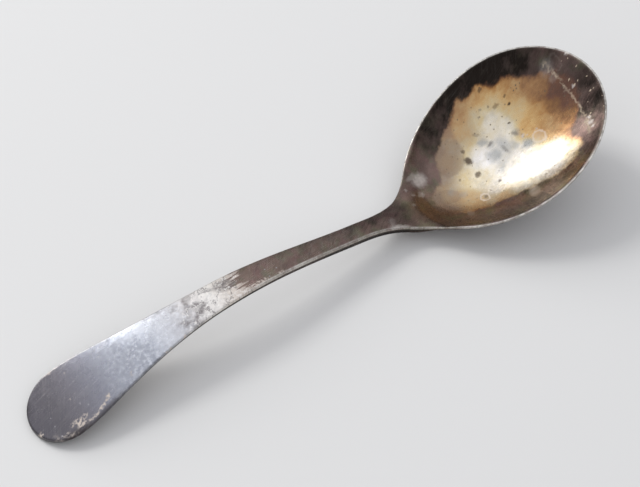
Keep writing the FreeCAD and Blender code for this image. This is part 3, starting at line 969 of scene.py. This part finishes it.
def write_attribute(mesh, name, kind, values):
    """One value or vector at each of the mesh's points, under a name."""
    layer = mesh.attributes.new(name, kind, "POINT")
    layer.data.foreach_set("vector" if kind == "FLOAT_VECTOR" else "value", np.ravel(values))


def write_history(mesh, plan, inset):
    """What the materials read at each point: its place in the plan, and its tarnish and wear."""
    facts = surface_facts(plan, inset)
    write_attribute(mesh, "plan", "FLOAT_VECTOR", plan)
    for fact in SURFACE_FACTS:
        write_attribute(mesh, fact, "FLOAT", facts[fact])


def spoon_piece(name, columns, ends):
    """One piece: a run of the grid's columns, closed by the cut at the neck."""
    skin = skin_faces(NUMBERS, columns)
    mesh, used = mesh_of(name, POINTS, skin + cut_faces(NUMBERS, *ends))
    mesh.shade_smooth()
    normals = []
    for face in mesh.polygons:
        for corner in face.vertices:
            normals.append(NORMALS[used[corner]] if face.index < len(skin) else face.normal)
    mesh.normals_split_custom_set(normals)
    write_history(mesh, PLAN[used], INSET[used])
    made = bpy.data.objects.new(name, mesh)
    bpy.context.scene.collection.objects.link(made)
    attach(made, "root")
    return made


# The back's places lie this far above the upper face's, so that no pattern runs through the metal.
BACK_APART = 40.0

GRID, INSET = skin_grid()
INSET = INSET.ravel()
NUMBERS = joined(GRID)
POINTS = placed(GRID.reshape(-1, 3))
COLUMNS = GRID.shape[1]
SIDE = (np.arange(GRID.shape[0]) >= GRID.shape[0] / 2).astype(float)
LEVEL = BACK_APART * SIDE[:, None] + 0 * GRID[..., 0]
PLAN = np.stack([GRID[..., 0], GRID[..., 1], LEVEL], -1).reshape(-1, 3)
NECK = int(np.argmax(ring()[0] >= NECK_AT))

whole, whole_used = mesh_of("whole", POINTS, skin_faces(NUMBERS, [*range(COLUMNS), 0]))
NORMALS = np.zeros_like(POINTS)
NORMALS[whole_used] = [vertex.normal for vertex in whole.vertices]
bpy.data.meshes.remove(whole)

bowl = spoon_piece("bowl_skin", range(NECK, COLUMNS - NECK + 1), (NECK, COLUMNS - NECK))
handle = spoon_piece(
    "handle_skin",
    [column % COLUMNS for column in range(COLUMNS - NECK, COLUMNS + NECK + 1)],
    (COLUMNS - NECK, NECK),
)
for made, node, plate in (
    (bowl, "bowl", tarnished_bowl_plate()),
    (handle, "handle", tarnished_handle_plate()),
):
    made.data.materials.append(plate)
    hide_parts(node)


# ---------------------------------------------------------------------------------------------
# Studio: a pale floor, one tall soft window behind the spoon to its left, and a soft dim room.

FLOOR_REACH = 3.0
FLOOR_COLOUR = "D9D8D5"
WINDOW_BEARING = 21.0
WINDOW_AWAY = 0.9
WINDOW_WIDTH = 0.22
WINDOW_SILL = 0.04
WINDOW_HEIGHT = 0.74
WINDOW_ASIDE = 0.05
WINDOW_POWER = 2.5
BOUNCE_BEARING = 12.0
BOUNCE_RISE = 54.0
BOUNCE_LEVEL = 0.3
BOUNCE_FROM = 0.72
ROOM_LOW = 0.3
ROOM_HIGH = 0.9
ROOM_COLOUR = "F6F8FF"
FLAGGED_LAMP_RISE = 50.0
FLAGGED_LAMP_AWAY = 1.2
FLAGGED_LAMP_SIZE = 0.35
FLAGGED_LAMP_POWER = 5.0


def pale_floor():
    """A flat matt board, wide enough to fill the view."""
    mesh = bpy.data.meshes.new("floor")
    corners = [(-1, -1), (1, -1), (1, 1), (-1, 1)]
    mesh.from_pydata([(FLOOR_REACH * x, FLOOR_REACH * y, 0) for x, y in corners], [], [(0, 1, 2, 3)])
    floor = bpy.data.objects.new("floor", mesh)
    bpy.context.scene.collection.objects.link(floor)
    material, tree = new_material("matt_pale_board")
    paint = add(tree, "BsdfPrincipled", {"Base Color": FLOOR_COLOUR, "Roughness": 0.9})
    add(tree, "OutputMaterial", {"Surface": paint})
    mesh.materials.append(material)


def toward(bearing, rise):
    """Direction from the spoon: bearing in degrees from +Y toward -X, rise above the floor."""
    flat = math.cos(math.radians(rise))
    across = -math.sin(math.radians(bearing)) * flat
    return Vector((across, math.cos(math.radians(bearing)) * flat, math.sin(math.radians(rise))))


def soft_window():
    """A tall narrow window, standing on the floor, that the polished metal mirrors."""
    data = bpy.data.lights.new("window", "AREA")
    data.shape = "RECTANGLE"
    data.size = WINDOW_WIDTH
    data.size_y = WINDOW_HEIGHT
    data.energy = WINDOW_POWER
    window = bpy.data.objects.new("window", data)
    window.location = toward(WINDOW_BEARING, 0) * WINDOW_AWAY
    window.location += Vector((WINDOW_ASIDE, 0, WINDOW_SILL + WINDOW_HEIGHT / 2))
    window.rotation_euler = (math.radians(90), 0, math.radians(WINDOW_BEARING + 180))
    bpy.context.scene.collection.objects.link(window)


def flagged_lamp():
    """A soft lamp above the window that gives the floor its shadow; flags keep it out of the metal."""
    data = bpy.data.lights.new("flagged_lamp", "AREA")
    data.size = FLAGGED_LAMP_SIZE
    data.energy = FLAGGED_LAMP_POWER
    lamp = bpy.data.objects.new("flagged_lamp", data)
    lamp.visible_glossy = False
    lamp.location = toward(WINDOW_BEARING, FLAGGED_LAMP_RISE) * FLAGGED_LAMP_AWAY
    lamp.rotation_euler = (math.radians(90 - FLAGGED_LAMP_RISE), 0, math.radians(WINDOW_BEARING + 180))
    bpy.context.scene.collection.objects.link(lamp)


def soft_room():
    """A dim even room, a little brighter on the ceiling where the window's light bounces."""
    world = bpy.data.worlds.new("room")
    world.use_nodes = True
    tree = world.node_tree
    tree.nodes.clear()
    direction = add(tree, "TexCoord").outputs["Generated"]
    up = add(tree, "SeparateXYZ", (direction,)).outputs["Z"]
    room = add(tree, "MapRange", (up, -0.1, 1.0, ROOM_LOW, ROOM_HIGH))
    bounce = tuple(toward(BOUNCE_BEARING, BOUNCE_RISE))
    facing = add(tree, "VectorMath", (direction, bounce), operation="DOT_PRODUCT").outputs["Value"]
    glow = add(tree, "MapRange", (facing, BOUNCE_FROM, 1.0, 0.0, BOUNCE_LEVEL))
    light = add(tree, "Background", {"Color": ROOM_COLOUR, "Strength": summed(tree, room, glow)})
    add(tree, "OutputWorld", {"Surface": light})
    bpy.context.scene.world = world


pale_floor()
soft_window()
flagged_lamp()
soft_room()
bpy.context.scene.view_settings.view_transform = "Standard"
